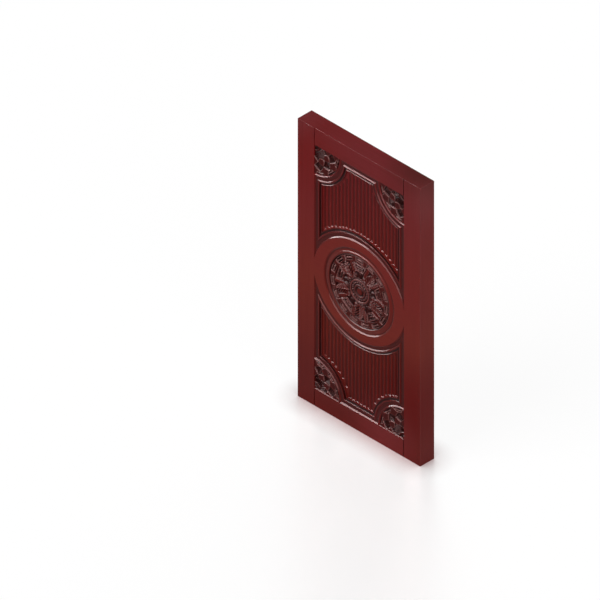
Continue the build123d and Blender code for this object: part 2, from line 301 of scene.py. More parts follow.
def lacquer(name, painted_shade_share, gloss, dust_share=0.0):
    finish = Finish(bpy.data.materials.new(name))
    board = finish.attribute("grain", "Vector")
    sunk = finish.attribute("sunk", "Fac")
    wear_and_painted_light = finish.attribute("wear_and_painted_light", "Fac")
    place = finish.node("ShaderNodeTexCoord", {}, {}, "Object")

    streaks = finish.noise(board, *streak_noise)
    pores = finish.noise(board, *pore_noise)
    clouds = finish.noise(place, *cloud_noise)
    pore_mask = finish.clamped((pores - pore_start) * pore_gain)

    height = finish.node("ShaderNodeSeparateXYZ", {}, {0: place}, "Z")
    # Painted light: darker towards the bottom and paler towards the top, with soft clouds of stain over it
    stain_and_light = finish.clamped(height * (1 / (leaf_height * mm)) + (clouds - mean_noise) * cloud_sway)
    red = finish.ramp(stain_and_light, stain_and_light_stops)
    # Painted shade: a darker copy of the red for recessed parts, over the spots of painted light and shade
    red = finish.mix(painted_shade_share, with_painted_light_spots(finish, place, red), painted_shade_red)
    red = finish.mix(finish.clamped((streaks - streak_start) * streak_gain) * streak_share, red, deep_red)
    red = finish.mix(pore_mask * pore_share, red, pore_brown)

    stipple = finish.noise(place, *stipple_noise)
    dust = finish.clamped((stipple - dust_start) * dust_gain) * dust_share
    # Glaze and painted shade darken the hollows, dusted grey in places; wear and a painted highlight pale the
    # edges
    hollow = finish.clamped(sunk * (hollow_gain + stipple * hollow_stipple))
    red = finish.mix(hollow, red, finish.mix(dust, glaze_and_shade_brown, glaze_grey))
    red = finish.mix(finish.clamped(wear_and_painted_light * (wear_and_painted_light_gain + stipple * wear_and_painted_light_stipple)), red, wear_and_painted_light_pink)

    smears = finish.noise(place, *smear_noise)
    rough = even_rough + (smears - mean_noise) * smear_rough + pore_mask * pore_rough + hollow * hollow_rough
    relief = streaks * streak_relief + pore_mask * pore_relief + stipple * hollow * stipple_relief
    sockets = {"Height": relief, "Strength": bump_strength, "Distance": bump_distance}
    bump = finish.node("ShaderNodeBump", {}, sockets, "Normal")

    shader = finish.tree.nodes["Principled BSDF"]
    finish.feed(shader.inputs["Base Color"], red)
    finish.feed(shader.inputs["Roughness"], rough)
    finish.feed(shader.inputs["Normal"], bump)
    shader.inputs["Specular IOR Level"].default_value = gloss
    return finish.owner


# Each finish's painted_shade_share darkens its red as painted shade: none on the frame, most on the carvings
finishes = {
    "frame": lacquer("frame_lacquer", painted_shade_share=0.0, gloss=0.03),
    "panels": lacquer("panel_lacquer", painted_shade_share=0.15, gloss=0.03),
    "mouldings": lacquer("moulding_lacquer", painted_shade_share=0.60, gloss=0.04),
    "rims": lacquer("rim_lacquer", painted_shade_share=0.35, gloss=0.04),
    "carvings": lacquer("carving_lacquer", painted_shade_share=0.9, gloss=0.022, dust_share=0.10),
    "roundel": lacquer("roundel_lacquer", painted_shade_share=0.55, gloss=0.022),
}
print("finishes", sorted(finishes))

# %% [markdown]
# ## From a sheet of depths to a solid piece
# Mouldings, fluted boards and carvings are all one thing to a carver: a face with a depth at each point, on
# a piece with straight sides and a flat back. So one helper closes a grid of places and depths into a solid,
# and notes grain, glaze and painted shade in hollows, and wear and painted light on edges, on its points.
# Sculpting or boolean cuts could make the same shapes, but a grid keeps every edge where it was measured.

# %% Helpers that make pieces
blur_weights = (1, 4, 6, 4, 1)


def share_of(place, start, end):
    """0 up to a start, 1 from an end on, and even between them."""
    return np.clip((place - start) / (end - start), 0, 1)


def smooth_over(grid, wraps):
    """The grid's heights, blurred a little."""
    spare = len(blur_weights) // 2
    for axis, mode in ((0, "edge"), (1, "wrap" if wraps else "edge")):
        padded = [(spare, spare) if side == axis else (0, 0) for side in (0, 1)]
        wide = np.pad(grid, padded, mode=mode)
        grid = np.apply_along_axis(np.convolve, axis, wide, blur_weights, "valid") / sum(blur_weights)
    return grid


def set_points(mesh, name, values, domain="POINT"):
    kind, field = ("FLOAT_VECTOR", "vector") if values.ndim == 2 else ("FLOAT", "value")
    layer = mesh.attributes.new(name, kind, domain)
    layer.data.foreach_set(field, np.ravel(values).astype(np.float32))


pieces = []
sharp_degrees = {"frame": 40, "panels": 30, "mouldings": 50, "rims": 50, "carvings": 60, "roundel": 60}


def add_piece(mesh, name, slot, nodes, finish=None):
    """A piece of the leaf with its finish, in place of the named solids."""
    finish = finish or slot
    mesh.shade_smooth()
    mesh.set_sharp_from_angle(angle=math.radians(sharp_degrees[finish]))
    mesh.materials.append(finishes[finish])
    piece = placed(name, mesh)
    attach(piece, "root")
    if nodes:
        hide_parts(*nodes)
    pieces.append(piece)
    return piece


# Where wear and a painted highlight start on a carved ridge, and where they are full
wear_and_highlight_from, wear_and_highlight_full = 1.0, 2.2


def wear_and_highlight_at(depth, wraps):
    """How worn each point is, with a painted highlight on it, from how far it stands out of its surroundings.
    """
    return share_of(smooth_over(depth, wraps) - depth, wear_and_highlight_from, wear_and_highlight_full)


def slab(x, z, depth, back_depth, wraps):
    """Points and faces of a piece: a grid of depths, straight sides and a flat back."""
    rows, columns = x.shape
    front = np.stack([x, face_y + depth, z + middle_z], axis=-1).reshape(-1, 3)
    index = np.arange(rows * columns).reshape(rows, columns)
    beside = np.roll(index, -1, axis=1) if wraps else index[:, 1:]
    here = index if wraps else index[:, :-1]
    quads = np.stack([here[:-1], beside[:-1], beside[1:], here[1:]], axis=-1).reshape(-1, 4)
    if wraps:
        loop = index[0]
    else:
        loop = np.concatenate([index[0], index[1:, -1], index[-1, -2::-1], index[-2:0:-1, 0]])
    back = front[loop] * (1, 0, 1) + (0, face_y + back_depth, 0)
    rim = rows * columns + np.arange(len(loop))
    ahead, rim_ahead = np.roll(loop, -1), np.roll(rim, -1)
    walls = np.stack([ahead, loop, rim, rim_ahead], axis=-1)
    faces = quads.tolist() + walls.tolist() + [rim[::-1].tolist()]
    if wraps:
        faces.append(index[-1].tolist())
    edge_one, edge_two = front[quads[:, 1]] - front[quads[:, 0]], front[quads[:, 3]] - front[quads[:, 0]]
    if np.cross(edge_one, edge_two)[:, 1].sum() > 0:
        faces = [face[::-1] for face in faces]
    return np.concatenate([front, back]), faces, loop


board_count = 0
board_shift = np.array([1.7, 0.9, 3.1])


def next_board():
    """A place in the wood for each board, so that no two look alike."""
    global board_count
    board_count += 1
    return board_shift * board_count


def grid_mesh(name, parts):
    """One mesh of slabs; each part is a dict of grids, or of rows that are alike all along."""
    points, faces, grains, sinks, wear_and_painted_lights = [], [], [], [], []
    start = 0
    keys = ("z", "depth", "along", "across", "sunk", "wear_and_painted_light")
    for part in parts:
        x = part["x"]
        usual = {"back": bed_depth, "along": part["z"], "across": x, "wraps": False}
        part = {"sunk": 0.0, "wear_and_painted_light": 0.0, **usual, **part}
        z, depth, along, across, sunk, wear_and_painted_light = (np.broadcast_to(part[key], x.shape) for key in keys)
        made, made_faces, loop = slab(x, z, depth, part["back"], part["wraps"])
        grain = np.stack([across, depth, along], axis=-1).reshape(-1, 3)
        plain = np.zeros(len(loop))
        points.append(made)
        faces += [[start + number for number in face] for face in made_faces]
        grains.append(np.concatenate([grain, grain[loop]]) * mm + next_board())
        sinks.append(np.concatenate([sunk.ravel(), plain]))
        wear_and_painted_lights.append(np.concatenate([wear_and_painted_light.ravel(), plain]))
        start += len(made)
    mesh = bpy.data.meshes.new(name)
    mesh.from_pydata((np.concatenate(points) * mm).tolist(), [], faces)
    set_points(mesh, "grain", np.concatenate(grains))
    set_points(mesh, "sunk", np.concatenate(sinks))
    set_points(mesh, "wear_and_painted_light", np.concatenate(wear_and_painted_lights))
    return mesh


def add_slabs(name, parts, slot, nodes, finish=None):
    """A piece of the leaf that is made of slabs."""
    return add_piece(grid_mesh(name, parts), name, slot, nodes, finish)


print("helpers ready")

# %% [markdown]
# ## Stiles and rails
# The frame is plain squared timber, and its solids have the right form, so copies of them are kept. Real
# edges are never knife sharp: a plane takes a little off each outer arris, and lacquer wears pale there, with
# a painted highlight over the wear. The leaf's long edges are painted a little paler as painted light. The
# edges above and below the framed opening are eased a little more, and each joint between rail and stile is a
# fine groove full of glaze.

# %% Ease the outer edges of the frame
arris_radius = 0.9
opening_ease = 1.8
arris_steps, round_profile = 3, 0.5
joint_groove = 5.5
most_glaze = 3.0
sloped, flat = 0.5, 0.98
same_plane = 0.05
merge_distance, merge_degrees = 0.02, 0.5
# Paleness on the outer arrises is wear and a painted highlight; on the leaf's long edges it is painted light
arris_wear_and_highlight, painted_side_light = 0.35, 0.07


def near(value, goal):
    return abs(value - goal) < same_plane


def outer_faces(point):
    """Which of the leaf's six outer faces a point lies on."""
    return np.abs(np.array([low, high]) - np.array(point) / mm) < same_plane


def on_outer_arris(start, end):
    return (outer_faces(start) & outer_faces(end)).sum() >= 2


def on_opening_edge(*points):
    """Whether an edge runs along the top or bottom of the framed opening, on the carved face."""
    level = all(near(abs(point.z / mm - middle_z), half_height) for point in points)
    return level and all(near(point.y / mm, face_y) for point in points)


def open_joints(shape):
    """Widen the eased shoulders of a rail into the fine grooves that the joints show as."""
    for vertex in shape.verts:
        x, depth = vertex.co.x / mm, vertex.co.y / mm - face_y
        if near(abs(x), half_width) and same_plane < depth < joint_groove:
            vertex.co.y = (face_y + joint_groove) * mm
        elif half_width - joint_groove < abs(x) < half_width - same_plane and near(depth, 0):
            vertex.co.x = math.copysign(half_width - joint_groove, x) * mm


def groove_glaze(mesh, places):
    """Glaze for each corner of each face: full at the bottom of the grooves, none elsewhere."""
    glaze = np.zeros(len(mesh.loops))
    for face in mesh.polygons:
        if face.normal.y < -sloped and abs(face.normal.x) > sloped:
            in_groove = np.abs(places[list(face.vertices), 0]) / mm > half_width - joint_groove - same_plane
            if in_groove.all():
                depth = places[list(face.vertices), 1] / mm - face_y
                glaze[list(face.loop_indices)] = np.where(depth > same_plane, most_glaze, 0)
    return glaze


def edge_wear_and_light(mesh, places):
    """How pale each face is painted: most on the outer arrises, as wear with a painted highlight, and a
    little on the leaf's long edges, as painted light.
    """
    away = np.abs(places[:, None, :] / mm - np.array([low, high]))
    on_arris = (away < arris_radius + same_plane).sum(axis=(1, 2)) >= 2
    on_long_edge = (away[:, :, 0] < same_plane).any(axis=1)
    wear = np.zeros(len(mesh.loops))
    for face in mesh.polygons:
        corners = list(face.vertices)
        if on_long_edge[corners].all():
            wear[list(face.loop_indices)] = painted_side_light
        elif on_arris[corners].all() and max(map(abs, face.normal)) < flat:
            wear[list(face.loop_indices)] = arris_wear_and_highlight
    return wear


def eased_copy(node, name, along_axis):
    """A copy of a solid with eased outer edges and open joints."""
    shape = bmesh.new()
    shape.from_mesh(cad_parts[node].data)
    bmesh.ops.remove_doubles(shape, verts=shape.verts, dist=merge_distance * mm)
    bmesh.ops.dissolve_limit(
        shape, angle_limit=math.radians(merge_degrees), verts=shape.verts, edges=shape.edges,
        use_dissolve_boundaries=False,
    )
    open_joints(shape)
    for found, radius in ((on_outer_arris, arris_radius), (on_opening_edge, opening_ease)):
        edges = [edge for edge in shape.edges if found(*(vertex.co for vertex in edge.verts))]
        bmesh.ops.bevel(
            shape, geom=edges, offset=radius * mm, offset_type="OFFSET", segments=arris_steps,
            profile=round_profile, affect="EDGES", clamp_overlap=True,
        )
    mesh = bpy.data.meshes.new(name)
    shape.to_mesh(mesh)
    shape.free()
    mesh.attributes.remove(mesh.attributes["custom_normal"])
    places = np.array([vertex.co for vertex in mesh.vertices])
    order = [axis for axis in (0, 1, 2) if axis != along_axis] + [along_axis]
    set_points(mesh, "grain", places[:, order] + next_board())
    set_points(mesh, "sunk", groove_glaze(mesh, places), "CORNER")
    set_points(mesh, "wear_and_painted_light", edge_wear_and_light(mesh, places), "CORNER")
    piece = add_piece(mesh, name, "frame", [node])
    piece.modifiers.new("flat_faces", "WEIGHTED_NORMAL").keep_sharp = True
    return piece


grain_axes = {"left_stile": 2, "right_stile": 2, "top_rail": 0, "middle_rail": 0, "bottom_rail": 0}
for node, along_axis in grain_axes.items():
    piece = eased_copy(node, node + "_board", along_axis)
    print(piece.name, len(piece.data.polygons), "faces")

# %% [markdown]
# ## The mouldings
# A moulding has one section all along: a slope down from the frame, a flat floor, a narrow bead, a fillet
# and a small step before the panel. The floor and the fillet are darkened with painted shade. Where a
# straight run meets a round one, the true mitre is a curve: the points that are equally far in from both
# edges. So each run is a grid with distance along it one way and distance in from the frame the other way. A
# bevelled curve would be quicker, but it can't make such mitres.

# %% The moulding's section
slope_width = 9.0
quirk_depth = 7.0
flank_start = 29.0
bead_flank = 8.0
bead_back = 6.0
bead_heel = 1.0
bead_depth = 0.6
bead_fall = 1.9
fillet_depth = 8.0
step_start = 54.5
step_width = 3.6
step_depth = 5.6
# Painted shade: how dark the floor and the fillet are painted, how softly it fades, and how far past their
# ends
painted_floor_shade, floor_fade = 0.4, 4.0
painted_fillet_shade, fillet_fade = 0.9, 2.0
shade_early, shade_late = 2.0, 1.0
slope_steps, floor_steps, flank_steps, back_steps, step_steps = 8, 4, 9, 5, 6


def glide(share):
    """A soft S from 0 to 1."""
    return (1 - np.cos(np.pi * share)) / 2


def dome(from_middle, half):
    """A round crown's height: 1 at its middle, 0 at its edge."""
    return np.sqrt(np.clip(1 - (from_middle / half) ** 2, 0, 1))


def arc(from_middle, half, fullness=0.8):
    """The top of a wider round, so that its edges are steep but not upright."""
    edge = dome(fullness, 1)
    return np.clip((dome(from_middle * fullness, half) - edge) / (1 - edge), 0, 1)


def moulding_section():
    """Insets from the frame's edge, and the depth at each of them."""
    slope = np.linspace(0, slope_width, slope_steps)
    slope_depths = quirk_depth * glide(slope / slope_width)
    floor = np.linspace(slope_width, flank_start, floor_steps)[1:-1]
    crown = flank_start + bead_flank
    flank = flank_start + bead_flank * np.sin(np.linspace(0, np.pi / 2, flank_steps))
    flank_depths = quirk_depth - (quirk_depth - bead_depth) * arc(crown - flank, bead_flank)
    back = np.linspace(0, 1, back_steps)[1:]
    heel = crown + bead_back + bead_heel
    step = np.linspace(0, 1, step_steps)
    step_depths = fillet_depth - (fillet_depth - step_depth) * glide(step)
    insets = np.concatenate([
        slope, floor, flank, crown + bead_back * back, [heel], step_start + step_width * step,
        [moulding_width],
    ])
    depths = np.concatenate([
        slope_depths, 0 * floor + quirk_depth, flank_depths, bead_depth + bead_fall * back**2, [fillet_depth],
        step_depths, [step_depth],
    ])
    return insets, depths


def soft_band(place, start, end, edge):
    """1 between two places, fading over a short edge at both."""
    return np.clip((place - start) / edge + 0.5, 0, 1) * np.clip((end - place) / edge + 0.5, 0, 1)


insets, section_depths = moulding_section()
fillet_start = flank_start + bead_flank + bead_back
on_floor = soft_band(insets, slope_width - shade_early, flank_start + shade_late, floor_fade)
on_fillet = soft_band(insets, fillet_start, step_start + shade_late, fillet_fade)
section_sunk = painted_floor_shade * on_floor + painted_fillet_shade * on_fillet
print("section points", len(insets))

# %% Where the runs meet, in the upper left quarter
def reach(radius, offset):
    return np.sqrt(radius**2 - offset**2)


head_x, head_z = reach(corner_radius + insets, insets) - half_width, half_height - insets
side_x, side_z = insets - half_width, half_height - reach(corner_radius + insets, insets)
tip_x, tip_z = insets - half_width, reach(arch_radius + insets, half_width - insets) - arch_set


def straight_run(start, end, steps):
    share = np.linspace(0, 1, steps + 1)[:, None]
    x = start[0] + (end[0] - start[0]) * share
    z = start[1] + (end[1] - start[1]) * share
    return x, z


def round_run(centre, radius, start, end, steps):
    first = np.arctan2(start[1] - centre[1], start[0] - centre[0])
    last = np.arctan2(end[1] - centre[1], end[0] - centre[0])
    angle = first + (last - first) * np.linspace(0, 1, steps + 1)[:, None]
    return centre[0] + (radius + insets) * np.cos(angle), centre[1] + (radius + insets) * np.sin(angle)


def moulding_part(run, flip_x, flip_z):
    x, z = run[0] * flip_x, run[1] * flip_z
    steps = np.hypot(np.diff(x, axis=0), np.diff(z, axis=0))
    along = np.concatenate([np.zeros((1, x.shape[1])), np.cumsum(steps, axis=0)])
    return {
        "x": x, "z": z, "depth": section_depths, "along": along, "across": insets, "sunk": section_sunk,
    }


head_steps, side_steps, corner_steps, arch_steps = 12, 16, 40, 120
head_run = straight_run((head_x, head_z), (-head_x, head_z), head_steps)
side_run = straight_run((side_x, side_z), (tip_x, tip_z), side_steps)
corner_point = (-half_width, half_height)
corner_run = round_run(corner_point, corner_radius, (head_x, head_z), (side_x, side_z), corner_steps)
arch_run = round_run((0, -arch_set), arch_radius, (tip_x, tip_z), (-tip_x, tip_z), arch_steps)
print("arch run is", round(arch_radius * 2 * math.asin(half_width / arch_radius)), "mm long")

# %% Make the moulding pieces
runs = {
    "upper_head": (head_run, 1, 1), "lower_foot": (head_run, 1, -1),
    "upper_arch": (arch_run, 1, 1), "lower_arch": (arch_run, 1, -1),
    "upper_left_side": (side_run, 1, 1), "upper_right_side": (side_run, -1, 1),
    "lower_left_side": (side_run, 1, -1), "lower_right_side": (side_run, -1, -1),
}
for name, run in runs.items():
    node = name + "_moulding"
    add_slabs(node + "_run", [moulding_part(*run)], "mouldings", [node])
quarters = {"upper_left": (1, 1), "lower_left": (1, -1), "upper_right": (-1, 1), "lower_right": (-1, -1)}
corners = [moulding_part(corner_run, *flips) for flips in quarters.values()]
add_slabs("corner_moulding_runs", corners, "mouldings", ["corner_mouldings"])
print("moulding runs", len(runs) + len(corners))

# %% [markdown]
# ## The fluted panels
# Each panel is a thick board with round flutes cut up its face by a round-nosed tool, which climbs out in a
# short slope at both ends. A bump texture could fake the stripes but not those bright ends, so they are cut
# into the mesh, with columns gathered in the flutes and rows gathered at their ends.

# %% Cut the flutes
flute_count = 21
flute_land = 4.6
flute_depth = 5.5
flute_end_land = 0.8
# Painted shade at the bottom of a flute, deepening with the cut
painted_flute_shade = 0.48
runout_slope = 1.5
flute_columns = 13
runout_rows = 7
straight_rows = 5
field_gap = 0.2
field_inset = moulding_width + field_gap
field_half = half_width - field_inset
flute_width = (2 * field_half - (flute_count + 1) * flute_land) / flute_count
flute_radius = (flute_width**2 / 4 + flute_depth**2) / (2 * flute_depth)


def flute_ends(centre):
    """How low and how high a flute runs in the upper panel, clear of the mouldings."""
    nearer, farther = max(abs(centre) - flute_width / 2, 0), abs(centre) + flute_width / 2
    lowest = reach(arch_radius + field_inset, nearer) - arch_set
    highest = half_height - field_inset
    from_corner = half_width - farther
    if from_corner < reach(corner_radius + field_inset, field_inset):
        highest = half_height - reach(corner_radius + field_inset, from_corner)
    return lowest + flute_end_land, highest - flute_end_land


def panel_column(x, centre):
    """Heights of the rows at one column of the panel, and how deep its flute is there."""
    lowest, highest = flute_ends(centre)
    from_middle = min(abs(x - centre), flute_width / 2)
    full_depth = reach(flute_radius, from_middle) - (flute_radius - flute_depth)
    runout = flute_depth / runout_slope
    runout_places = np.linspace(0, runout, runout_rows)
    straight = np.linspace(lowest + runout, highest - runout, straight_rows)[1:-1]
    edge = reach(arch_radius + panel_gap, x) - arch_set
    z = np.concatenate([
        [edge], lowest + runout_places, straight, (highest - runout_places)[::-1], [half_height - panel_gap]
    ])
    from_end = np.maximum(np.minimum(z - lowest, highest - z), 0)
    return z, np.minimum(full_depth, from_end * runout_slope)


def panel_part(flip_z):
    pitch = flute_width + flute_land
    centres = (np.arange(flute_count) - (flute_count - 1) / 2) * pitch
    flute_half = flute_width / 2
    columns = [(panel_gap - half_width, centres[0]), (-field_half, centres[0])]
    for centre in centres:
        columns += [(centre + flute_half * share, centre) for share in np.linspace(-1, 1, flute_columns)]
    columns += [(field_half, centres[-1]), (half_width - panel_gap, centres[-1])]
    pairs = [panel_column(x, centre) for x, centre in columns]
    z = np.array([pair[0] for pair in pairs]) * flip_z
    cut = np.array([pair[1] for pair in pairs])
    x = np.broadcast_to(np.array([column[0] for column in columns])[:, None], z.shape)
    return {
        "x": x, "z": z, "depth": bed_depth + cut, "back": panel_back_depth,
        "sunk": painted_flute_shade * cut / flute_depth,
    }


for node, flip_z in (("upper_panel", 1), ("lower_panel", -1)):
    piece = add_slabs(node + "_board", [panel_part(flip_z)], "panels", [node])
    print(piece.name, len(piece.data.polygons), "faces, flute width", round(flute_width, 1))

# %% [markdown]
# ## Carving by distance
# The carver lowers the ground and leaves the ornament standing. That can be written down directly: each
# motif is a signed distance, positive inside its outline, across which the height steps over a short sloped
# wall. What stands has a bevel along its edge and is joined with a maximum. Pockets are cut with a minimum.

# %% Tools for carving
def ease(inside, wall):
    """0 outside an outline and 1 inside it, with a soft step over a wall's width."""
    share = np.clip(inside / wall + 0.5, 0, 1)
    return share * share * (3 - 2 * share)


wall_width = 1.8
bevel_width, bevel_slope = 3.2, 0.85


def blended(height, inside, level):
    """A motif that sets its own level inside an outline, whatever was there."""
    step = ease(inside, wall_width)
    return height * (1 - step) + level * step


def raised(height, inside, level):
    """Ornament left standing up to a level inside an outline, with a bevel along its edge."""
    level = level - bevel_slope * np.clip(bevel_width - inside, 0, bevel_width)
    return np.maximum(height, blended(height, inside, level))


def sunken(height, inside, level):
    """A pocket cut down to a level inside an outline."""
    return np.minimum(height, blended(height, inside, level))


def bar_distance(along, across_bar, length, width):
    return np.minimum(length / 2 - np.abs(along), width / 2 - np.abs(across_bar))


def ripple(place, pitch):
    """A wave between 0 and 1 that crests at each pitch."""
    return 0.5 + 0.5 * np.cos(2 * np.pi * place / pitch)


def punched(x, z, pitch):
    """Small dots of a punched ground, between 0 and 1."""
    return ripple(x + z, pitch) * ripple(x - z, pitch)


# Depths at which glaze and painted shade start on the carved ground, and where they are full
glaze_and_shade_from, glaze_and_shade_full = 3.2, 5.6


def glaze_and_shade(depth):
    """How much glaze and painted shade lie at each point: none on what stands, all of it on the ground."""
    return share_of(depth, glaze_and_shade_from, glaze_and_shade_full)


print("carving tools ready")

# %% [markdown]
# ## The roundel
# The roundel is turned with its rim, then carved: a hub of rings and beads, five tablets with slats, five
# leaf sprays between them, scrolls where they meet, and fifteen bars in pockets round the edge. Tablets,
# sprays and scrolls repeat and mirror, so only half a fifth is described, by folding every point's angle
# into it. The rim is a strip of its own, with its own finish.

# %% Sizes of the roundel's carving
rim_slope, rim_band, rim_bead = 14.0, 15.0, 21.0
rim_band_depth = 4.8
# Painted shade on the rim: each band has its place in from the edge, its spread and its most
painted_rim_shade = ((12.0, 6.0, 0.5), (50.0, 4.0, 1.0))
carved_radius = roundel_radius - rim_slope - rim_band - rim_bead
folds = 5
ground_depth, punch_height, punch_pitch = 11.5, 0.9, 7.0
strap_depth, strap_half = 4.2, 26.0
bar_count, bar_ring = 15, 229.0
bar_pocket_length, bar_pocket_width, bar_pocket_depth = 62.0, 29.0, 16.5
bar_length, bar_width, bar_depth, bar_crown = 48.0, 9.0, 4.0, 0.05
bar_pale, bar_pale_edge = 0.5, 2.4
tablet_inner, tablet_outer = 142.0, 198.0
tablet_inner_half, tablet_outer_half = 31.0, 58.0
tablet_frame, tablet_depth, tablet_floor = 6.5, 2.4, 14.0
slats = ((1.0, 48.0, 11.0, 3.8), (-15.0, 42.0, 5.0, 4.6), (17.0, 72.0, 5.0, 4.6))
lobe_gap, lobe_half, lobe_start, lobe_end = 17.0, 14.0, 118.0, 210.0
lobe_depth, lobe_crown, lobe_notch, lobe_pitch = 2.6, 0.6, 2.6, 15.0
spray_start, spray_end, spray_half = 90.0, 212.0, 33.0
spray_swell, spray_point, leaflet_base, leaflet_tooth = 0.8, 0.75, 0.82, 0.24
leaflet_pitch, leaflet_slant, leaflet_low, leaflet_rise = 20.0, 0.9, 12.0, 11.0
stem_half, stem_depth, stem_taper = 3.4, 2.6, 0.6
scroll_ring, scroll_turn, scroll_radius, scroll_pitch = 113.0, 21.0, 20.0, 9.5
curl_rise, curl_low, scroll_eye_depth, scroll_eye_drop = 5.4, 8.0, 2.0, 0.12
bud_start, bud_end, bud_half = 98.0, 142.0, 14.0
bud_swell, bud_depth, bud_slope, bud_ridge = 0.7, 3.2, 0.25, 2.0
petal_count, petal_start, petal_reach, petal_depth = 30, 88.0, 7.0, 4.4
edge_groove, edge_groove_depth = 6.0, 10.0
hub_radius, hub_channel = 85.0, 9.5
boss_radius, boss_depth, boss_drop = 27.0, 2.0, 5.5
hub_rings = ((41.5, 7.5, 6.0), (77.5, 7.5, 7.2))
hub_bead_ring, hub_bead_radius, hub_bead_count = 60.0, 6.8, 22
hub_pale, hub_pale_depth, hub_pale_fade, hub_pale_edge = 0.3, 5.0, 2.0, 1.0

# %% Carve the roundel
def turn_to_nearest(angle, count):
    """The angle from the nearest of so many equal steps round a circle."""
    pitch = 360 / count
    return (angle + pitch / 2) % pitch - pitch / 2


def from_ray(radius, degrees):
    """Where a point lies along a ray and across it."""
    return radius * np.cos(np.radians(degrees)), radius * np.sin(np.radians(degrees))


def hub_height(radius, angle):
    """Rings and beads at the middle, from the boss outwards."""
    along, aside = from_ray(radius, turn_to_nearest(angle, hub_bead_count))
    height = hub_bead_radius * dome(np.hypot(along - hub_bead_ring, aside), hub_bead_radius)
    for ring, half, rise in hub_rings:
        height = np.maximum(height, rise * dome(radius - ring, half))
    boss = -boss_depth - boss_drop * (1 - dome(radius, boss_radius))
    return np.where(radius < boss_radius, boss, height - hub_channel)


def tablet_edge(out, aside):
    """How far inside a tablet's flared side a point lies, from its places along and across it."""
    flare = (tablet_outer_half - tablet_inner_half) / (tablet_outer - tablet_inner)
    half = tablet_inner_half + flare * (out - tablet_inner)
    return (half - aside) * math.cos(math.atan(flare))


def tablet_height(height, out, aside):
    """A flared frame with slats in it, and a notched lobe beside it."""
    to_side = tablet_edge(out, aside)
    across_lobe = -to_side - lobe_gap
    share = share_of(out, lobe_start, lobe_end)
    half = lobe_half * np.sqrt(np.sin(np.pi * share))
    lobe = lobe_crown * dome(across_lobe, lobe_half) - lobe_notch * ripple(out + across_lobe, lobe_pitch)
    height = raised(height, half - np.abs(across_lobe), lobe - lobe_depth)
    inside = np.minimum(to_side, np.minimum(out - tablet_inner, tablet_outer - out))
    height = raised(height, inside, -tablet_depth)
    height = sunken(height, inside - tablet_frame, -tablet_floor)
    middle = (tablet_inner + tablet_outer) / 2
    for place, length, width, depth in slats:
        height = raised(height, bar_distance(aside, out - middle - place, length, width), -depth)
    return height


def spray_height(height, out, aside):
    """A leaf spray: a stem, and leaflets that slant outwards on both sides of it."""
    share = share_of(out, spray_start, spray_end)
    half = spray_half * np.sin(np.pi * share**spray_swell) ** spray_point
    wave = ripple(out - leaflet_slant * aside, leaflet_pitch)
    toothed = half * (leaflet_base + leaflet_tooth * wave)
    height = blended(height, toothed - aside, leaflet_rise * wave - leaflet_low)
    within = np.minimum(out - spray_start, spray_end - out)
    stem = np.minimum(stem_half * (1 - stem_taper * share) - aside, within)
    return raised(height, stem, -stem_depth)


def scroll_height(height, out, aside):
    """A scroll that curls up beside a tablet's foot, and a bud between the two scrolls."""
    scroll_out, scroll_aside = from_ray(scroll_ring, scroll_turn)
    distance = np.hypot(out - scroll_out, aside - scroll_aside)
    turned = np.arctan2(out - scroll_out, aside - scroll_aside) / (2 * np.pi)
    curl = curl_rise * ripple(distance / scroll_pitch - turned, 1.0) - curl_low
    eye = -scroll_eye_depth - scroll_eye_drop * distance**2
    height = raised(height, scroll_radius - distance, np.maximum(curl, eye))
    share = share_of(out, bud_start, bud_end)
    half = bud_half * np.sin(np.pi * share**bud_swell)
    bud = -bud_depth - bud_slope * aside - bud_ridge * ripple(aside, bud_half)
    return raised(height, half - aside, bud)


def bar_place(radius, angle):
    """Where a point lies along and across the nearest bar."""
    along, aside = from_ray(radius, turn_to_nearest(angle, bar_count))
    return aside, along - bar_ring


def bar_height(height, radius, angle):
    """Fifteen crowned bars, each in a pocket of its own."""
    aside, out = bar_place(radius, angle)
    height = sunken(height, bar_distance(aside, out, bar_pocket_length, bar_pocket_width), -bar_pocket_depth)
    return blended(height, bar_distance(aside, out, bar_length, bar_width), -bar_depth - bar_crown * out**2)


def rim_height(radius):
    """The turned rim: a slope down from the rail, a rising band and a round bead."""
    inset = roundel_radius - radius
    slope = quirk_depth * glide(share_of(inset, 0, rim_slope))
    band = (quirk_depth - rim_band_depth) * share_of(inset, rim_slope, rim_slope + rim_band)
    bead_middle = rim_slope + rim_band + rim_bead / 2
    bead = (rim_band_depth - bead_depth) * arc(inset - bead_middle, rim_bead / 2)
    return band + bead - slope


def roundel_height(radius, angle):
    """The whole carved face, described in half a fifth that mirrors and repeats."""
    folded = np.abs(turn_to_nearest(angle, folds))
    out, aside = from_ray(radius, folded)
    leaf_out, leaf_aside = from_ray(radius, 180 / folds - folded)
    x, z = from_ray(radius, angle)
    height = punch_height * punched(x, z, punch_pitch) - ground_depth
    height = raised(height, strap_half - np.abs(radius - bar_ring), -strap_depth)
    height = spray_height(height, leaf_out, leaf_aside)
    height = tablet_height(height, out, aside)
    height = scroll_height(height, out, aside)
    petal = petal_start + petal_reach * np.abs(np.sin(np.radians(angle) * petal_count / 2)) - radius
    height = raised(height, np.minimum(petal, radius - hub_radius), -petal_depth)
    height = bar_height(height, radius, angle)
    height = sunken(height, radius - carved_radius + edge_groove, -edge_groove_depth)
    return np.where(radius < hub_radius, hub_height(radius, angle), height)


turns = 480
eye_radius = 1.5
carved_rows, hub_rows, rim_rows = 120, 50, 36


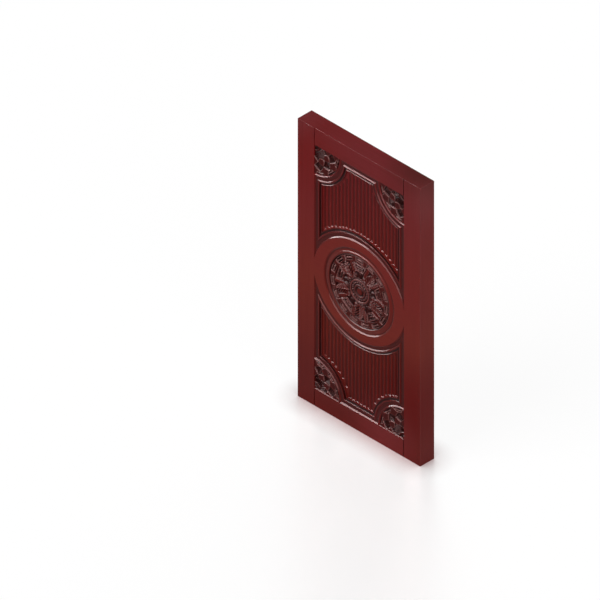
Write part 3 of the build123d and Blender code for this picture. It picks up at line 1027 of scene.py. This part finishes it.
def roundel_part(radii):
    radius, angle = np.meshgrid(radii, np.arange(turns) * (360 / turns), indexing="ij")
    x, z = radius * np.sin(np.radians(angle)), radius * np.cos(np.radians(angle))
    depth = -roundel_height(radius, angle)
    pale = bar_pale * ease(bar_distance(*bar_place(radius, angle), bar_length, bar_width), bar_pale_edge)
    on_hub = soft_band(radius, boss_radius, hub_radius, hub_pale_edge)
    pale = pale + hub_pale * on_hub * np.clip((hub_pale_depth - depth) / hub_pale_fade, 0, 1)
    return {
        "x": x, "z": z, "depth": depth, "back": roundel_back_depth, "sunk": glaze_and_shade(depth),
        "wear_and_painted_light": np.maximum(wear_and_highlight_at(depth, True), pale), "wraps": True,
    }


def rim_part():
    """The rim, as a long strip bent round the roundel."""
    radii = np.linspace(roundel_radius, carved_radius, rim_rows)
    angle, radius = np.meshgrid(np.linspace(0, 360, turns // 2 + 1), radii, indexing="ij")
    x, z = from_ray(radius, angle)
    inset = roundel_radius - radius
    sunk = sum(most * np.exp(-((inset - place) / spread) ** 2) for place, spread, most in painted_rim_shade)
    return {
        "x": x, "z": z, "depth": -rim_height(radius), "along": np.radians(angle) * radius, "across": inset,
        "sunk": sunk,
    }


carved_radii = np.concatenate([
    np.linspace(carved_radius, hub_radius, carved_rows), np.linspace(hub_radius, eye_radius, hub_rows)[1:]
])
carving = [roundel_part(carved_radii)]
roundel = add_slabs("roundel_carving", carving, "carvings", ["roundel"], finish="roundel")
rim = add_slabs("roundel_rim", [rim_part()], "mouldings", [], finish="rims")
print("roundel faces", len(roundel.data.polygons), "and rim", len(rim.data.polygons))

# %% [markdown]
# ## The corner carvings
# Each corner piece is a quarter disc with a boss and a small leaf fan in the corner, and outside them a net:
# dished lozenges, dark pockets with faint veins, and short bars in the outer pockets. In polar places that
# net is a plain chequered pattern, so it is written as one. A narrow ledge runs along the rail, and a plain
# rim round the curve.

# %% Carve the corner pieces
corner_gap = 0.2
corner_edge = corner_radius - corner_gap
corner_rim, corner_rim_depth, corner_rim_drop = 6.0, 0.8, 4.8
corner_ground, vein_rise, vein_pitch, vein_slant = 13.0, 2.2, 14.0, 1.0
net_ring, net_rise, net_turn, net_size = 151.5, 33.5, 15.0, 19.0
lozenge_border, lozenge_depth, lozenge_dish = 4.0, 1.8, 3.8
lozenge_pale, lozenge_fade = 0.15, 2.0
cell_turns = (15.0, 45.0, 75.0)
cell_ring, cell_length, cell_width, cell_depth = 199.0, 54.0, 22.0, 13.5
cell_bars = ((0.0, 44.0, 6.0, 4.0), (-8.0, 34.0, 3.0, 7.0))
fan_turn, fan_spread, fan_reach, fan_ribs = 45.0, 40.0, 97.0, 9.0
fan_low, fan_rise, fan_round, fan_tooth = 11.0, 6.5, 0.016, 4.0
fan_growth, fan_margin = 20.0, 3.0
corner_ring, corner_ring_half, corner_ring_rise = 43.0, 6.0, 6.0
corner_boss, corner_boss_depth, corner_boss_drop, corner_channel = 24.0, 2.5, 6.0, 9.5
ledge_width, ledge_depth, ledge_slope = 6.0, 0.5, 0.85
corner_start, corner_rows, corner_columns = 2.0, 106, 136
corner_rim_rows, corner_rim_columns = 14, 61


def corner_middle_height(radius, angle):
    """The leaf fan, the ring and the boss that fill the corner itself."""
    spread = np.abs(angle - fan_turn)
    rib = ripple(spread, fan_ribs)
    edge = fan_reach - fan_round * spread**2 + fan_tooth * rib
    growth = np.clip((radius - corner_ring) / fan_growth, 0, 1)
    fan = fan_rise * rib**2 * growth - fan_low
    ground = np.full(radius.shape, -corner_ground)
    height = np.where((radius < edge) & (spread < fan_spread), fan, ground)
    ring = corner_ring_rise * dome(radius - corner_ring, corner_ring_half) - corner_channel
    height = np.where(radius < corner_ring + corner_ring_half, ring, height)
    boss = -corner_boss_depth - corner_boss_drop * (1 - dome(radius, corner_boss))
    return np.where(radius < corner_boss, boss, height), edge - radius


def lozenge_edge(radius, angle):
    """How far inside the nearest lozenge a point lies."""
    ring_step, turn_step = (radius - net_ring) / net_rise, angle / net_turn
    return (1 - np.abs(np.abs(ring_step) - 1) - np.abs((turn_step + 1) % 2 - 1)) * net_size


def corner_height(radius, angle):
    """The net of lozenges and pockets, the bars in it, and the corner's leaf fan."""
    inside = lozenge_edge(radius, angle)
    cell_out, cell_aside = from_ray(radius, angle % (2 * net_turn) - net_turn)
    height = vein_rise * ripple(cell_out - vein_slant * np.abs(cell_aside), vein_pitch) ** 2 - corner_ground
    height = raised(height, inside, -lozenge_depth)
    height = sunken(height, inside - lozenge_border, -lozenge_dish)
    for turn_at in cell_turns:
        along, aside = from_ray(radius, angle - turn_at)
        out = along - cell_ring
        height = sunken(height, bar_distance(aside, out, cell_length, cell_width), -cell_depth)
        for place, length, width, depth in cell_bars:
            height = raised(height, bar_distance(aside, out - place, length, width), -depth)
    middle, inside_fan = corner_middle_height(radius, angle)
    height = np.where(inside_fan > -fan_margin, middle, height)
    from_rail = radius * np.sin(np.radians(angle))
    ledge = -ledge_depth - ledge_slope * from_rail
    return np.where(from_rail < ledge_width, np.maximum(height, ledge), height)


def corner_grid(radii, steps, flip_x, flip_z):
    """Radius and angle at each point of a quarter disc, and its place on the face."""
    radius, angle = np.meshgrid(radii, np.linspace(0, 90, steps), indexing="ij")
    out, down = from_ray(radius, angle)
    return radius, angle, (out - half_width) * flip_x, (half_height - down) * flip_z


def corner_part(flip_x, flip_z):
    radii = np.linspace(corner_start, corner_edge - corner_rim, corner_rows)
    radius, angle, x, z = corner_grid(radii, corner_columns, flip_x, flip_z)
    depth = -corner_height(radius, angle)
    border = soft_band(lozenge_edge(radius, angle), 0, lozenge_border, lozenge_fade)
    pale = lozenge_pale * np.where(depth < lozenge_dish, border, 0)
    return {
        "x": x, "z": z, "depth": depth, "sunk": glaze_and_shade(depth),
        "wear_and_painted_light": np.maximum(wear_and_highlight_at(depth, False), pale),
    }


def corner_rim_part(flip_x, flip_z):
    """The plain rim round a corner piece, which slopes down to the carving."""
    radii = np.linspace(corner_edge - corner_rim, corner_edge, corner_rim_rows)
    radius, angle, x, z = corner_grid(radii, corner_rim_columns, flip_x, flip_z)
    down = ease(corner_edge - radius - corner_rim / 2, corner_rim)
    return {
        "x": x, "z": z, "depth": corner_rim_depth + corner_rim_drop * down,
        "along": np.radians(angle) * radius, "across": radius,
    }


rims = [corner_rim_part(*flips) for flips in quarters.values()]
add_slabs("corner_rims", rims, "carvings", [], finish="rims")
for quarter, flips in quarters.items():
    node = quarter + "_corner_carving"
    piece = add_slabs(node + "_piece", [corner_part(*flips)], "carvings", [node])
    print(piece.name, len(piece.data.polygons), "faces")

# %% [markdown]
# ## The floor
# The leaf stands on a pale, slightly glossy studio floor. A floor that is lit white would throw much light up
# under the mouldings and flatten them, so it is white to the camera and to reflections, and greyer to light
# that bounces. It still takes the leaf's soft shadow and a faint mirror of it, and a pinkish shadow is
# painted into its glow where they meet, from how closed in each point is.

# %% Make the floor
floor_half = 40.0
floor_mesh = bpy.data.meshes.new("floor")
floor_signs = ((-1, -1), (1, -1), (1, 1), (-1, 1))
floor_corners = [(floor_half * right, floor_half * away, 0) for right, away in floor_signs]
floor_mesh.from_pydata(floor_corners, [], [(0, 1, 2, 3)])
floor = placed("floor", floor_mesh)

floor_grey, floor_white = (0.36, 0.36, 0.36), (1.0, 1.0, 1.0)
white_to_eye, glow_strength = 0.74, 1.23
mirror_share, mirror_rough = 0.16, 0.3
# The colour of the shadow painted into the floor's glow where the leaf stands
contact_reach, painted_contact_shadow = 0.18, (0.46, 0.35, 0.35)
floor_finish = Finish(bpy.data.materials.new("pale_floor"))
floor_shader = floor_finish.tree.nodes["Principled BSDF"]
floor_finish.feed(floor_shader.inputs["Base Color"], floor_grey)
floor_finish.feed(floor_shader.inputs["Specular IOR Level"], 0.0)


def seen_rays(finish):
    """1 for what the camera sees, straight or in a reflection, and 0 for light that bounces."""
    paths = ("Is Camera Ray", "Is Glossy Ray", "Is Transmission Ray")
    return finish.clamped(sum(finish.node("ShaderNodeLightPath", {}, {}, path) for path in paths))


seen = seen_rays(floor_finish)
open_share = floor_finish.node("ShaderNodeAmbientOcclusion", {}, {"Distance": contact_reach}, "AO")
from_contact = floor_finish.clamped(open_share * 2.0 - 1.0)
glow_colour = floor_finish.mix(from_contact, painted_contact_shadow, floor_white)
glow = floor_finish.node("ShaderNodeEmission", {}, {"Color": glow_colour, "Strength": glow_strength})
lit = Value(floor_finish, floor_shader.outputs[0])
blend = floor_finish.node("ShaderNodeMixShader", {}, {0: seen * white_to_eye, 1: lit, 2: glow})
mirror_sockets = {"Color": floor_white, "Roughness": mirror_rough}
mirror = floor_finish.node("ShaderNodeBsdfAnisotropic", {}, mirror_sockets)
blend = floor_finish.node("ShaderNodeMixShader", {}, {0: seen * mirror_share, 1: blend, 2: mirror})
floor_finish.feed(floor_finish.tree.nodes["Material Output"].inputs["Surface"], blend)
floor_mesh.materials.append(floor_finish.owner)
print("floor", 2 * floor_half, "m square")

# %% [markdown]
# ## The light
# The picture has a soft, even studio light. Lamps with wide sun discs light the wood alike everywhere: from
# the front and above, from the right and from behind. Two more only make highlights on the leaf, along
# slopes that face up and left and, weaker, up and right. The lacquer's gloss is kept low, so that the white
# floor and world don't veil the red, and these two lamps are strong to make up for it.

# %% Set the lamps and the world
leaf_pieces = bpy.data.collections.new("leaf_pieces")
for piece in pieces:
    leaf_pieces.objects.link(piece)
# Each lamp has the way towards it, its strength, its disc's width in degrees, and what it makes
lamps = {
    "key": ((-0.20, -0.68, 0.70), 2.2, 40, "diffuse"),
    "side": ((0.92, -0.30, 0.24), 2.0, 40, "diffuse"),
    "behind": ((-0.2, 0.95, 0.15), 1.3, 40, "diffuse"),
    "gleam": ((-0.91, -0.37, 0.16), 84.0, 92, "glossy"),
    "glint": ((0.16, -0.85, 0.48), 50.0, 120, "glossy"),
}
for name, (direction, strength, disc_degrees, kind) in lamps.items():
    lamp_data = bpy.data.lights.new(name, "SUN")
    lamp_data.energy = strength
    lamp_data.angle = math.radians(disc_degrees)
    lamp = placed(name, lamp_data)
    lamp.rotation_mode = "QUATERNION"
    lamp.rotation_quaternion = Vector(direction).to_track_quat("Z", "Y")
    lamp.visible_diffuse = kind == "diffuse"
    lamp.visible_glossy = kind == "glossy"
    if kind == "glossy":
        lamp.light_linking.receiver_collection = leaf_pieces

fill = 0.26
studio = Finish(bpy.data.worlds.new("studio"))
sky = studio.tree.nodes["Background"]
sky.inputs["Color"].default_value = (1, 1, 1, 1)
studio.feed(sky.inputs["Strength"], fill + seen_rays(studio) * (1 - fill))
scene.world = studio.owner
scene.view_settings.view_transform = "Standard"
print("lamps", sorted(lamps))
